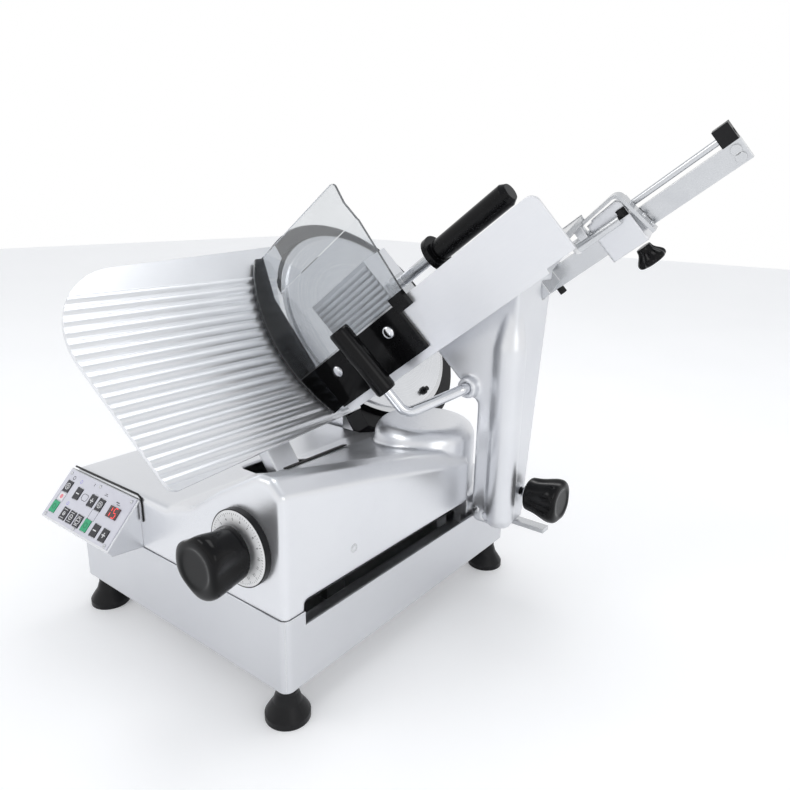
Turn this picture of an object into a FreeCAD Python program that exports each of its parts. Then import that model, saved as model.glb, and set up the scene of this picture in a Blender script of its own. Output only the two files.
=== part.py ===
import FreeCAD, Part
import math
import os
import re
import Sketcher

# Deli meat slicer: a gravity-feed machine with a leaning blade and a motor-driven carriage.
# X runs to the operator's right, Y away from the operator (the way the carriage travels), Z up.
# All stations are measured from the floor point of the front right foot, and the whole part is
# then shifted so that its origin lies on the floor under the middle of its bounding box.

Vector = FreeCAD.Vector
Rotation = FreeCAD.Rotation
Placement = FreeCAD.Placement

DIMS = {
    # the part's origin, as seen from the front right foot
    "centre_x": -57.157, "centre_y": 273.5,
    # lean of the blade axis above the floor, and turn of the food tray about that axis
    "lean": 37.53, "tray_turn": 17.5,
    # sheet-metal base and its feet
    "base_left": -367, "base_right": 19, "base_front": -19, "base_rear": 436,
    "base_bottom": 45, "base_top": 131, "sheet_thick": 3, "base_corner": 10,
    "foot_pitch_x": 347, "foot_pitch_y": 418, "foot_radius": 25, "stud_radius": 3.9,
    "slot_front": 10.5, "slot_rear": 424, "slot_bottom": 115, "slot_top": 143,
    # upper casting
    "low_top": 197, "hump_top": 283, "hump_rear": 214, "casting_rear": 324, "casting_wall": 5,
    "deck_top": 150, "dome_x": -58, "dome_y": 326, "dome_radius": 70, "dome_top": 246,
    # thickness knob and its cam
    "dial_x": -39.5, "dial_z": 198, "dial_radius": 42, "knob_radius": 35, "cam_radius": 40,
    "cam_start": 10, "cam_travel": 20, "cam_angle": 300, "pin_radius": 3, "gauge_opening": 20,
    # control panel
    "panel_left": -372, "panel_wide": 150, "panel_run": 47, "panel_drop": 50,
    # gauge plate, in the blade frame (y, s up the blade plane, n along the blade axis)
    "gauge_left": -56, "gauge_low": 271, "gauge_high": 577, "gauge_right": 320,
    "gauge_top": 12, "gauge_thick": 6, "rib_pitch": 14, "rib_radius": 9,
    # blade and the ring around it
    "blade_y": 433, "blade_s": 425, "blade_radius": 165, "blade_thick": 4, "blade_face": 11.5,
    "ring_inner": 170, "ring_outer": 193, "ring_gap": 108.5, "cover_radius": 156,
    "shaft_radius": 12.5, "hub_radius": 58, "bearing_radius": 26, "tie_radius": 5,
    "belt_plane": -108, "belt_wide": 14, "blade_pulley": 45, "motor_pulley": 20,
    "motor_y": 375, "motor_s": 310, "motor_radius": 38,
    # carriage and its guides
    "rod_x": -8, "rod_z": 129, "rod_radius": 8, "pulley_x": -44, "pulley_z": 109,
    "drive_radius": 14, "pivot_x": 44, "pivot_z": 125, "pin_fit": 5,
    # food tray, in the tray frame (v away from the wall, w up the wall, n along the blade axis)
    "wall_v": 362, "wall_thick": 4, "wall_start": 200, "wall_end": 425, "floor_w": 190,
    "floor_thick": 6, "wall_top": 272, "tray_start": 20, "floor_end": 385, "floor_rear": 505,
    "guard_start": 16, "guard_end": 216, "guard_kink": 385, "guard_top": 446,
    "flange_radius": 217,
    "rail_v": 512, "rail_low": 149, "rail_high": 176, "rail_end": 588,
    "grip_radius": 14.5, "handle_v": 317, "handle_n": 134,
}

os.makedirs("parts", exist_ok=True)
doc = FreeCAD.newDocument("meat_slicer")
sheet = doc.addObject("Spreadsheet::Sheet", "dims")
for row, (name, size) in enumerate(DIMS.items(), start=1):
    sheet.set("A%d" % row, name)
    sheet.set("B%d" % row, str(size))
    sheet.setAlias("B%d" % row, name)
doc.recompute()

PIECES = []


# ---------------------------------------------------------------- formulas and places
def formula(text):
    """A formula in sheet names, as an expression that FreeCAD can bind."""
    def swap(match):
        word = match.group(0)
        return "dims." + word if word in DIMS else word
    return re.sub(r"[a-z][a-z_]*", swap, str(text))


def number(text):
    """The value of a formula, or of a plain number."""
    if isinstance(text, (int, float)):
        return float(text)
    return float(sheet.evalExpression(formula(text)))


def spot(x, y, z):
    return Vector(number(x), number(y), number(z))


def place(frame, x=0, y=0, z=0, turn=None):
    return frame.multiply(Placement(spot(x, y, z), turn or Rotation()))


def basis(x_axis, y_axis, z_axis):
    return Rotation(x_axis, y_axis, z_axis, "ZXY")


LEAN = math.radians(number("lean"))
TURN = math.radians(number("tray_turn"))
N_AXIS = Vector(math.cos(LEAN), 0, math.sin(LEAN))
S_AXIS = Vector(-math.sin(LEAN), 0, math.cos(LEAN))
Y_AXIS = Vector(0, 1, 0)
V_AXIS = Y_AXIS * math.cos(TURN) + S_AXIS * math.sin(TURN)
W_AXIS = S_AXIS * math.cos(TURN) - Y_AXIS * math.sin(TURN)

FLOOR = Placement(spot("-centre_x", "-centre_y", 0), Rotation())
BLADE = FLOOR.multiply(Placement(Vector(), basis(Y_AXIS, S_AXIS, N_AXIS)))
TRAY = FLOOR.multiply(Placement(Vector(), basis(V_AXIS, W_AXIS, N_AXIS)))

FRONT = basis(Vector(1, 0, 0), Vector(0, 0, 1), Vector(0, -1, 0))   # drawn in XZ, grows to -Y
SIDE = basis(Vector(0, 1, 0), Vector(0, 0, 1), Vector(1, 0, 0))     # drawn in YZ, grows to +X
TO_X = basis(Vector(0, 1, 0), Vector(0, 0, 1), Vector(1, 0, 0))
TO_Y = basis(Vector(0, 0, 1), Vector(1, 0, 0), Vector(0, 1, 0))


# turns inside the leaning frames: a cylinder along the first or the second axis instead of the third
FIRST = Vector(1, 0, 0)
SECOND = Vector(0, 1, 0)
THIRD = Vector(0, 0, 1)
ALONG_V = basis(SECOND, THIRD, FIRST)
ALONG_W = basis(THIRD, FIRST, SECOND)
DOWN_W = basis(THIRD, FIRST * -1, SECOND * -1)
UPRIGHT = basis(THIRD, SECOND, FIRST * -1)      # drawn in the third and second axes, grows to -first


# ---------------------------------------------------------------- primitives and booleans
def keep(piece, name):
    """Names a finished sub-part and puts it on the list that is written."""
    piece.Label = name
    PIECES.append(piece)
    return piece


def solid(kind, where, **sizes):
    """A Part primitive whose sizes are bound to formulas."""
    piece = doc.addObject("Part::" + kind, kind.lower())
    for size, text in sizes.items():
        piece.setExpression(size, formula(text))
    piece.Placement = where
    return piece


def box(frame, low, high):
    """A box between two corners, given as formulas in the frame's own axes."""
    spans = ["(%s) - (%s)" % (top, bottom) for bottom, top in zip(low, high)]
    return solid("Box", place(frame, *low), Length=spans[0], Width=spans[1], Height=spans[2])


def rod(frame, start, length, radius, turn=None):
    return solid("Cylinder", place(frame, *start, turn), Radius=radius, Height=length)


def pipe(frame, start, length, outer, inner, turn=None):
    return cut(rod(frame, start, length, outer, turn), rod(frame, start, length, inner, turn))


def cut(base, *tools):
    for tool in tools:
        result = doc.addObject("Part::Cut", "cut")
        result.Base = base
        result.Tool = tool
        base = result
    return base


def fuse(*shapes):
    result = doc.addObject("Part::MultiFuse", "fuse")
    result.Shapes = list(shapes)
    return result


def common(*shapes):
    result = doc.addObject("Part::MultiCommon", "common")
    result.Shapes = list(shapes)
    return result


def group(*shapes):
    """Identical small pieces that share one node as separate solids."""
    result = doc.addObject("Part::Compound", "group")
    result.Links = list(shapes)
    return result


# ---------------------------------------------------------------- sketched bodies
def new_body(where):
    body = doc.addObject("PartDesign::Body", "body")
    body.Placement = where
    return body


def sketch(body, plane="XY_Plane", offset=0):
    """An empty sketch on one of the body's own planes."""
    drawing = body.newObject("Sketcher::SketchObject", "sketch")
    support = [item for item in body.Origin.OriginFeatures if item.Role == plane][0]
    drawing.AttachmentSupport = [(support, "")]
    drawing.MapMode = "FlatFace"
    drawing.AttachmentOffset = Placement(spot(0, 0, offset), Rotation())
    return drawing


def bind(drawing, kind, element, point, text):
    """Ties one coordinate of a sketch point to a formula."""
    value = number(text)
    row = drawing.addConstraint(Sketcher.Constraint(kind, -1, 1, element, point, value))
    drawing.setExpression("Constraints[%d]" % row, formula(text))


def outline(drawing, corners):
    """A closed outline of straight edges through corners given as formulas."""
    first = drawing.GeometryCount
    count = len(corners)
    points = [Vector(number(x), number(y), 0) for x, y in corners]
    for index in range(count):
        edge = Part.LineSegment(points[index], points[(index + 1) % count])
        drawing.addGeometry(edge, False)
    for index in range(count):
        following = first + (index + 1) % count
        drawing.addConstraint(Sketcher.Constraint("Coincident", first + index, 2, following, 1))
    for index, (x, y) in enumerate(corners):
        bind(drawing, "DistanceX", first + index, 1, x)
        bind(drawing, "DistanceY", first + index, 1, y)
    return drawing


def rectangle(drawing, low, high):
    corners = [(low[0], low[1]), (high[0], low[1]), (high[0], high[1]), (low[0], high[1])]
    return outline(drawing, corners)


def ring(drawing, x, y, radius):
    """A circle whose centre and radius are formulas."""
    centre = Vector(number(x), number(y), 0)
    circle = drawing.addGeometry(Part.Circle(centre, Vector(0, 0, 1), number(radius)), False)
    bind(drawing, "DistanceX", circle, 3, x)
    bind(drawing, "DistanceY", circle, 3, y)
    row = drawing.addConstraint(Sketcher.Constraint("Radius", circle, number(radius)))
    drawing.setExpression("Constraints[%d]" % row, formula(radius))
    return drawing


def pad(body, drawing, length, flip=False):
    feature = body.newObject("PartDesign::Pad", "pad")
    feature.Profile = drawing
    feature.setExpression("Length", formula(length))
    feature.Reversed = flip
    return feature


def pocket(body, drawing, length, flip=False):
    feature = body.newObject("PartDesign::Pocket", "pocket")
    feature.Profile = drawing
    feature.setExpression("Length", formula(length))
    feature.Reversed = flip
    return feature


def turned(where, profile):
    """A body turned about its own Z, from a profile of (radius, height) corners."""
    body = new_body(where)
    drawing = outline(sketch(body, "XZ_Plane"), profile)
    feature = body.newObject("PartDesign::Revolution", "revolution")
    feature.Profile = drawing
    feature.ReferenceAxis = (drawing, ["V_Axis"])
    feature.Angle = 360
    return body


def plate(where, corners, thick, holes=()):
    """A flat plate from an outline, with round holes through it."""
    body = new_body(where)
    drawing = outline(sketch(body), corners)
    for x, y, radius in holes:
        ring(drawing, x, y, radius)
    pad(body, drawing, thick)
    return body


def round_corners(body, corners, radius):
    """Rounds the edges that rise from the given corners of the body's own XY plane."""
    doc.recompute()
    base = body.Tip
    shape = base.Shape
    wanted = [Vector(number(x), number(y), 0) for x, y in corners]
    names = []
    for index, edge in enumerate(shape.Edges, start=1):
        feet = [Vector(vertex.X, vertex.Y, 0) for vertex in edge.Vertexes]
        if len(feet) != 2 or (feet[0] - feet[1]).Length > 0.01:
            continue
        if any((feet[0] - target).Length < 0.01 for target in wanted):
            names.append("Edge%d" % index)
    feature = body.newObject("PartDesign::Fillet", "fillet")
    feature.Base = (base, names)
    feature.setExpression("Radius", formula(radius))
    return body


def round_edges(body, test, radius):
    """Rounds every edge of the body whose middle passes the test."""
    doc.recompute()
    base = body.Tip
    names = []
    for index, edge in enumerate(base.Shape.Edges, start=1):
        middle = edge.valueAt((edge.FirstParameter + edge.LastParameter) / 2)
        if test(middle, edge):
            names.append("Edge%d" % index)
    feature = body.newObject("PartDesign::Fillet", "fillet")
    feature.Base = (base, names)
    feature.setExpression("Radius", formula(radius))
    return body


# ---------------------------------------------------------------- base
def make_base():
    corners = [("base_left", "base_front"), ("base_right", "base_front"),
               ("base_right", "base_rear"), ("base_left", "base_rear")]
    tray = new_body(place(FLOOR, z="base_bottom"))
    pad(tray, outline(sketch(tray), corners), "base_top - base_bottom")
    round_corners(tray, corners, "base_corner")
    inside = rectangle(sketch(tray), ("base_left + sheet_thick", "base_front + sheet_thick"),
                       ("base_right - sheet_thick", "base_rear - sheet_thick"))
    pocket(tray, inside, "base_top - base_bottom", flip=True)
    slot = rectangle(sketch(tray, "YZ_Plane"), ("slot_front", "slot_bottom - base_bottom"),
                     ("slot_rear", "base_top - base_bottom + 1"))
    pocket(tray, slot, "base_right + 5", flip=True)
    keep(tray, "base_tray")

    gap = "(sheet_thick + 0.2)"
    feet = [(0, 0), ("-foot_pitch_x", 0), (0, "foot_pitch_y"), ("-foot_pitch_x", "foot_pitch_y")]
    inner = [("base_left + " + gap, "base_front + " + gap), ("base_right - " + gap, "base_front + " + gap),
             ("base_right - " + gap, "base_rear - " + gap), ("base_left + " + gap, "base_rear - " + gap)]
    holes = [(x, y, "stud_radius + 0.3") for x, y in feet]
    base_plate = plate(place(FLOOR, z="base_bottom"), inner, "sheet_thick", holes)
    keep(base_plate, "bottom_plate")

    profile = [(0, 0), ("foot_radius", 0), ("foot_radius", 7), ("foot_radius - 3", 12),
               ("foot_radius - 9", 21), (12.5, 32), (12.5, 39), (16, 42), (16, 45), (0, 45)]
    whole = []
    for x, y in feet:
        stud = rod(FLOOR, (x, y, 24), 38, "stud_radius")
        nut = solid("Prism", place(FLOOR, x, y, "base_bottom + sheet_thick"), Circumradius=8, Height=7)
        whole.append(fuse(turned(place(FLOOR, x, y), profile), stud, nut))
    keep(group(*whole), "feet")


# ---------------------------------------------------------------- upper casting
def section(shrink, top, floor):
    """The casting's cross-section, seen from the front: low deck, valley, flank and hump."""
    left = "base_left + %s" % shrink
    right = "base_right - %s" % shrink
    hump = "%s - %s" % (top, shrink)
    return [(left, floor), (left, "low_top - %s" % shrink),
            ("-172 - 0.4 * %s" % shrink, "low_top + 2 - %s" % shrink),
            ("-125 - 0.6 * %s" % shrink, "min(low_top + 17; %s - 2) - %s" % (top, shrink)),
            ("-80 - 0.6 * %s" % shrink, "%s - 0.5 * (%s - hump_rear) - 3 - %s" % (top, top, shrink)),
            ("-17 - 0.5 * %s" % shrink, hump), (2, hump), (right, "%s - 15 - 0.6 * %s" % (top, shrink)),
            (right, floor)]


def make_housing():
    body = new_body(FLOOR)
    front = outline(sketch(body, "XZ_Plane", "-base_front"), section("0", "hump_top", "base_top"))
    rear = outline(sketch(body, "XZ_Plane", "-casting_rear"), section("0", "hump_rear", "base_top"))
    loft = body.newObject("PartDesign::AdditiveLoft", "loft")
    loft.Profile = front
    loft.Sections = [rear]
    loft.Ruled = True
    deck = rectangle(sketch(body, "XY_Plane", "base_top"), ("base_left", "casting_rear - 30"),
                     ("base_right", "base_rear"))
    pad(body, deck, "deck_top - base_top")
    dome = ring(sketch(body, "XY_Plane", "base_top"), "dome_x", "dome_y", "dome_radius")
    pad(body, dome, "dome_top - base_top")
    round_edges(body, is_dome_rim, 22)
    round_edges(body, is_outer_edge, 7)

    wall = "casting_wall"
    front = outline(sketch(body, "XZ_Plane", "-base_front - casting_wall"),
                    section(wall, "hump_top", "base_top - 1"))
    rear = outline(sketch(body, "XZ_Plane", "-casting_rear + casting_wall"),
                   section(wall, "hump_rear", "base_top - 1"))
    hollow = body.newObject("PartDesign::SubtractiveLoft", "hollow")
    hollow.Profile = front
    hollow.Sections = [rear]
    hollow.Ruled = True
    deck = rectangle(sketch(body, "XY_Plane", "base_top"), ("base_left + casting_wall", "casting_rear - 20"),
                     ("base_right - casting_wall", "base_rear - casting_wall"))
    pocket(body, deck, "deck_top - base_top - casting_wall", flip=True)
    dome = ring(sketch(body, "XY_Plane", "base_top"), "dome_x", "dome_y", "dome_radius - casting_wall - 2")
    pocket(body, dome, "dome_top - base_top - 26", flip=True)
    slot = rectangle(sketch(body, "YZ_Plane"), ("slot_front", "base_top - 1"), ("slot_rear", "slot_top"))
    pocket(body, slot, "base_right + 5", flip=True)
    shaft_hole = ring(sketch(body, "XZ_Plane", "-base_front - 8"), "dial_x", "dial_z", 16)
    pocket(body, shaft_hole, 30, flip=True)
    doc.recompute()
    # the gauge plate's bracket comes up through one window and the blade drive through another
    windows = [box(FLOOR, (-200, 118, 180), (-140, 182, 235)), box(FLOOR, (-340, 336, 130), (-235, 426, 160))]
    keep(cut(body, *windows), "housing")


def is_dome_rim(middle, edge):
    return abs(middle.z - number("dome_top")) < 0.1


def is_outer_edge(middle, edge):
    """Long edges of the casting's roof and the front edge of its face."""
    front = abs(middle.y - number("base_front")) < 0.1 and middle.z > number("base_top") + 5
    ends = [vertex.Point for vertex in edge.Vertexes]
    along = len(ends) == 2 and abs(ends[0].y - ends[1].y) > 200
    high = middle.z > number("low_top") - 10
    outside = middle.x > 0 or middle.x < number("base_left") + 1
    return front or (along and high and outside)


# ---------------------------------------------------------------- thickness knob, cam and gauge plate
def lobed(body, radius, length, lobes, depth, width, foot=0.6):
    """A round grip with shallow finger hollows around it, narrower at its foot."""
    profile = [(0, 0), ("%s * %s" % (radius, foot), 0), ("%s * %s" % (radius, foot + 0.05), 8),
               (radius, "%s * 0.57" % length), (radius, "%s - 5" % length),
               ("%s - 5" % radius, length), (0, length)]
    drawing = outline(sketch(body, "XZ_Plane"), profile)
    feature = body.newObject("PartDesign::Revolution", "revolution")
    feature.Profile = drawing
    feature.ReferenceAxis = (drawing, ["V_Axis"])
    feature.Angle = 360
    doc.recompute()
    hollow = ring(sketch(body), "%s + %s - %s" % (radius, width, depth), 0, width)
    groove = pocket(body, hollow, "%s + 1" % length, flip=True)
    pattern = body.newObject("PartDesign::PolarPattern", "lobes")
    pattern.Originals = [groove]
    pattern.Axis = (hollow, ["N_Axis"])
    pattern.Angle = 360
    pattern.Occurrences = lobes
    body.Tip = pattern
    return body


def make_thickness_knob():
    dial = place(FLOOR, "dial_x", "base_front", "dial_z", FRONT)
    bezel = pipe(dial, (0, 0, 0), 7, "dial_radius", "dial_radius - 3.5")
    flange = pipe(dial, (0, 0, 0), 4.9, "dial_radius - 3", 8.05)
    bush = pipe(dial, (0, 0, -12), 14, 13.5, 8.05)
    keep(fuse(bezel, flange, bush), "dial_ring")

    knob = new_body(place(dial, z=14))
    lobed(knob, "knob_radius", 46, 3, 5, 24, foot=0.8)
    keep(knob, "thickness_knob")
    make_cam(dial)


def spiral(centre, start, growth, angle, steps):
    """Points of an Archimedean spiral in the XZ plane; the radius grows as the angle falls back."""
    points = []
    for step in range(steps + 1):
        swept = angle * step / steps
        radius = start + growth * swept
        heading = math.pi + LEAN - swept
        reach = Vector(math.cos(heading), 0, math.sin(heading)) * radius
        points.append(centre + reach)
    return points


def make_cam(dial):
    """The knob's shaft and a disc with a spiral groove that shifts the gauge plate's pin."""
    disc = rod(place(FLOOR, "dial_x", 22, "dial_z", TO_Y), (0, 0, 0), 8, "cam_radius")
    angle = math.radians(number("cam_angle"))
    growth = number("cam_travel") / angle
    lead = 0.4
    centre = spot("dial_x", 26.5, "dial_z")
    points = spiral(centre, number("cam_start") - growth * lead, growth, angle + 2 * lead, 60)
    turned_back = Rotation(Vector(0, 1, 0), -math.degrees(lead))
    points = [centre + turned_back.multVec(point - centre) for point in points]
    half = number("pin_radius") + 0.35
    normals = []
    for index in range(len(points)):
        before = points[max(index - 1, 0)]
        after = points[min(index + 1, len(points) - 1)]
        along = (after - before).normalize()
        normals.append(Vector(along.z, 0, -along.x))
    outer = [point + normal * half for point, normal in zip(points, normals)]
    inner = [point - normal * half for point, normal in zip(points, normals)]
    edges = []
    for side in (outer, list(reversed(inner))):
        curve = Part.BSplineCurve()
        curve.interpolate(side)
        edges.append(curve.toShape())
    caps = [Part.makeLine(outer[-1], inner[-1]), Part.makeLine(inner[0], outer[0])]
    wire = Part.Wire([edges[0], caps[0], edges[1], caps[1]])
    groove = doc.addObject("Part::Feature", "groove")
    groove.Shape = Part.Face(wire).extrude(Vector(0, 6, 0))
    groove.Placement = FLOOR
    shaft = fuse(rod(dial, (0, 0, -44), 58, 8), rod(dial, (0, 0, 6), 8, 15))
    keep(fuse(cut(disc, groove), shaft), "thickness_cam")


def make_gauge():
    gauge_base = place(BLADE, z="gauge_top - gauge_thick")
    corners = [("gauge_left + 37", "gauge_low"), ("gauge_right", "gauge_low + 22"),
               ("gauge_right", "gauge_high"), ("gauge_left - 21", "gauge_high - 22")]
    body = plate(gauge_base, corners, "gauge_thick - 1.6")
    round_corners(body, corners[3:], 100)
    round_corners(body, corners[:1], 14)
    prism = plate(gauge_base, corners, "gauge_thick + 3")
    round_corners(prism, corners[3:], 100)
    round_corners(prism, corners[:1], 14)
    ribs = []
    for index in range(18):
        start = ("gauge_left - 21", "gauge_low + 14 + %d * rib_pitch" % index, "gauge_top - rib_radius")
        ribs.append(rod(BLADE, start, "gauge_right - gauge_left + 21", "rib_radius", ALONG_V))
    trimmed = common(fuse(*ribs), prism)
    blade_gap = rod(BLADE, ("blade_y", "blade_s", -40), 80, "ring_inner + 2")
    keep(cut(fuse(body, trimmed), blade_gap), "gauge_plate")

    n_pin = "dial_x * cos(lean) + dial_z * sin(lean) - cam_start"
    s_pin = "dial_z * cos(lean) - dial_x * sin(lean)"
    low = s_pin + " - 7"
    high = s_pin + " + 7"
    bracket = fuse(box(BLADE, (130, 176, -12), (170, 345, "gauge_top - gauge_thick")),
                   rod(BLADE, (150, 190, -30), 36, 15),
                   box(BLADE, (32, low, -11), (42, high, n_pin + " + 8")),
                   box(BLADE, (32, low, -11), (131, high, 3)),
                   rod(BLADE, (26.9, s_pin, n_pin), 6, "pin_radius", ALONG_V))
    keep(cut(bracket, rod(BLADE, (150, 190, -40), 60, "rod_radius + 0.06")), "gauge_bracket")

    guide = rod(BLADE, (150, 190, -76), 132, "rod_radius")
    left = box(FLOOR, (-190, 134, "base_bottom + sheet_thick"), (-164, 166, 118))
    right = box(FLOOR, (-98, 134, "base_bottom + sheet_thick"), (-66, 166, 198))
    keep(fuse(guide, left, right), "gauge_rod")


# ---------------------------------------------------------------- control panel
def make_panel():
    wedge = [(0, 0), ("-panel_run", "-panel_drop"), ("-panel_run + 6", "-panel_drop - 8"),
             (0, "-panel_drop - 12")]
    body = plate(place(FLOOR, "panel_left", "base_front", "low_top - 2", SIDE), wedge, "panel_wide")
    keep(body, "panel_housing")
    slope = Vector(0, -number("panel_run"), -number("panel_drop")).normalize()
    across = Vector(1, 0, 0)
    face = basis(across, slope * -1, across.cross(slope * -1))
    panel = place(FLOOR, "panel_left", "base_front", "low_top - 2", face)
    length = "sqrt(panel_run * panel_run + panel_drop * panel_drop)"
    membrane = box(panel, (2, "-%s + 2" % length, 0), ("panel_wide - 2", -2, 1.5))
    openings = [box(panel, (x - 6.6, y - 8.1, -1), (x + 6.6, y + 8.1, 3)) for x, y, _ in KEYS]
    keep(cut(membrane, *openings), "panel_face")
    keep(box(panel, (114, -34, 1.5), (134, -20, 3)), "count_display")
    for x, y, name in KEYS:
        keep(box(panel, (x - 6, y - 7.5, 1), (x + 6, y + 7.5, 2.3)), name)
    screws = [rod(panel, (x, y, 1.5), 1.3, 2.4) for x in (8, 75, 142) for y in (-7, -64)]
    keep(group(*screws), "panel_screws")


KEYS = [
    (17, -23.5, "key_blade_stop"), (15.5, -52, "key_blade_start"), (43, -26, "key_stroke_less"),
    (76, -26, "key_stroke_more"), (94, -26, "key_carriage_stop"), (42, -54, "key_stroke_short"),
    (58, -54, "key_stroke_middle"), (74, -54, "key_stroke_long"), (91.5, -54, "key_carriage_start"),
    (112, -54, "key_count_down"), (131, -54, "key_count_up"),
]


# ---------------------------------------------------------------- blade, its ring and its drive
def hub(n, s="blade_s", y="blade_y"):
    return (y, s, n)


def make_blade():
    disc = turned(place(BLADE, "blade_y", "blade_s", "blade_face - blade_thick"),
                  [("tie_radius + 1", 0), ("blade_radius - 14", 0), ("blade_radius", "blade_thick - 0.4"),
                   ("blade_radius", "blade_thick"), ("tie_radius + 1", "blade_thick")])
    keep(disc, "blade")
    shaft = fuse(rod(BLADE, hub(-114), "114 - 20", "shaft_radius"),
                 rod(BLADE, hub(-20), "20 + blade_face - blade_thick", 42),
                 rod(BLADE, hub("belt_plane"), "belt_wide", "blade_pulley"))
    keep(cut(shaft, rod(BLADE, hub(-120), 140, "tie_radius + 1")), "blade_shaft")
    bearings = [pipe(BLADE, hub(n), 12, "bearing_radius - 0.1", "shaft_radius + 0.1") for n in (-52, -88)]
    keep(group(*bearings), "blade_bearings")

    cover = fuse(rod(BLADE, hub("blade_face + 0.4"), 3, "cover_radius"),
                 rod(BLADE, hub(-132), "132 + blade_face + 1", "tie_radius"))
    keep(cover, "blade_cover")
    keep(fuse(rod(BLADE, (469, 285, "blade_face + 3.4"), 3, 6.5),
              rod(BLADE, (469, 285, "blade_face + 3.4"), 10, 4)), "cover_pin")
    grip = new_body(place(BLADE, "blade_y", "blade_s", -119.4, Rotation(Vector(1, 0, 0), 180)))
    lobed(grip, 20, 22, 6, 3, 8)
    keep(cut(grip, rod(BLADE, hub(-133), 20, "tie_radius + 0.06")), "cover_knob")

    rim = pipe(BLADE, hub(-25), 28, "ring_outer", "ring_inner")
    back = pipe(BLADE, hub(-30), 5, "ring_outer", "shaft_radius + 9")
    side = box(BLADE, ("blade_y - 200", "blade_s - 200", -60), ("blade_y - ring_gap", "blade_s + 200", 40))
    keep(cut(fuse(rim, back), side), "blade_ring")


def make_blade_drive():
    column = box(FLOOR, (-362, 330, "deck_top"), (-215, 433, 229))
    barrel = rod(BLADE, hub(-119), 89, "hub_radius")
    inside = box(FLOOR, (-357, 335, "deck_top - 1"), (-222, 428, 224))
    room = rod(BLADE, hub(-114), 24, "hub_radius - 5")
    throat = box(BLADE, ("motor_y - 28", "motor_s - 30", -113), ("blade_y + 50", "blade_s", -91))
    bore = rod(BLADE, hub(-117), 130, "bearing_radius")
    rear_hole = rod(BLADE, hub(-120), 5, "tie_radius + 0.06")
    shell = cut(fuse(column, barrel), inside, room, bore, throat, rear_hole)
    below = box(FLOOR, (-420, 300, 0), (-150, 500, "deck_top"))
    keep(cut(shell, below), "blade_support")

    motor = fuse(rod(BLADE, ("motor_y", "motor_s", -170), 56, "motor_radius"),
                 rod(BLADE, ("motor_y", "motor_s", -176), 6, "motor_radius - 8"))
    foot = box(FLOOR, (-352, 345, "base_bottom + sheet_thick"), (-262, 405, 130))
    socket = rod(BLADE, ("motor_y", "motor_s", -130), 20, 4.06)
    keep(cut(fuse(motor, foot), socket), "blade_motor")
    pulley = fuse(rod(BLADE, ("motor_y", "motor_s", "belt_plane"), "belt_wide", "motor_pulley"),
                  rod(BLADE, ("motor_y", "motor_s", -129), 25, 4))
    keep(pulley, "motor_pulley_wheel")
    keep(belt_loop(place(BLADE, z="belt_plane + 1"), ("blade_y", "blade_s", "blade_pulley + 0.3"),
                   ("motor_y", "motor_s", "motor_pulley + 0.3"), 3, "belt_wide - 2"), "blade_belt")


def belt_loop(where, first, second, thick, wide):
    """A belt round two pulleys: outer loop less inner loop, each two arcs and two tangents."""
    outlines = []
    for grow in (0, thick):
        one = Vector(number(first[0]), number(first[1]), 0)
        two = Vector(number(second[0]), number(second[1]), 0)
        big = number(first[2]) + grow
        small = number(second[2]) + grow
        gap = two - one
        heading = math.atan2(gap.y, gap.x)
        wrap = math.acos((big - small) / gap.Length)
        ends = []
        for centre, radius in ((one, big), (two, small)):
            up = Vector(math.cos(heading + wrap), math.sin(heading + wrap), 0) * radius
            down = Vector(math.cos(heading - wrap), math.sin(heading - wrap), 0) * radius
            ends.append((centre + up, centre + down))
        far_big = one - gap.normalize() * big
        far_small = two + gap * small
        edges = [Part.Arc(ends[0][0], far_big, ends[0][1]).toShape(),
                 Part.makeLine(ends[0][1], ends[1][1]),
                 Part.Arc(ends[1][1], far_small, ends[1][0]).toShape(),
                 Part.makeLine(ends[1][0], ends[0][0])]
        outlines.append(Part.Face(Part.Wire(edges)))
    loop = doc.addObject("Part::Feature", "belt")
    loop.Shape = outlines[1].cut(outlines[0]).extrude(Vector(0, 0, number(wide)))
    loop.Placement = where
    return loop


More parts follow.
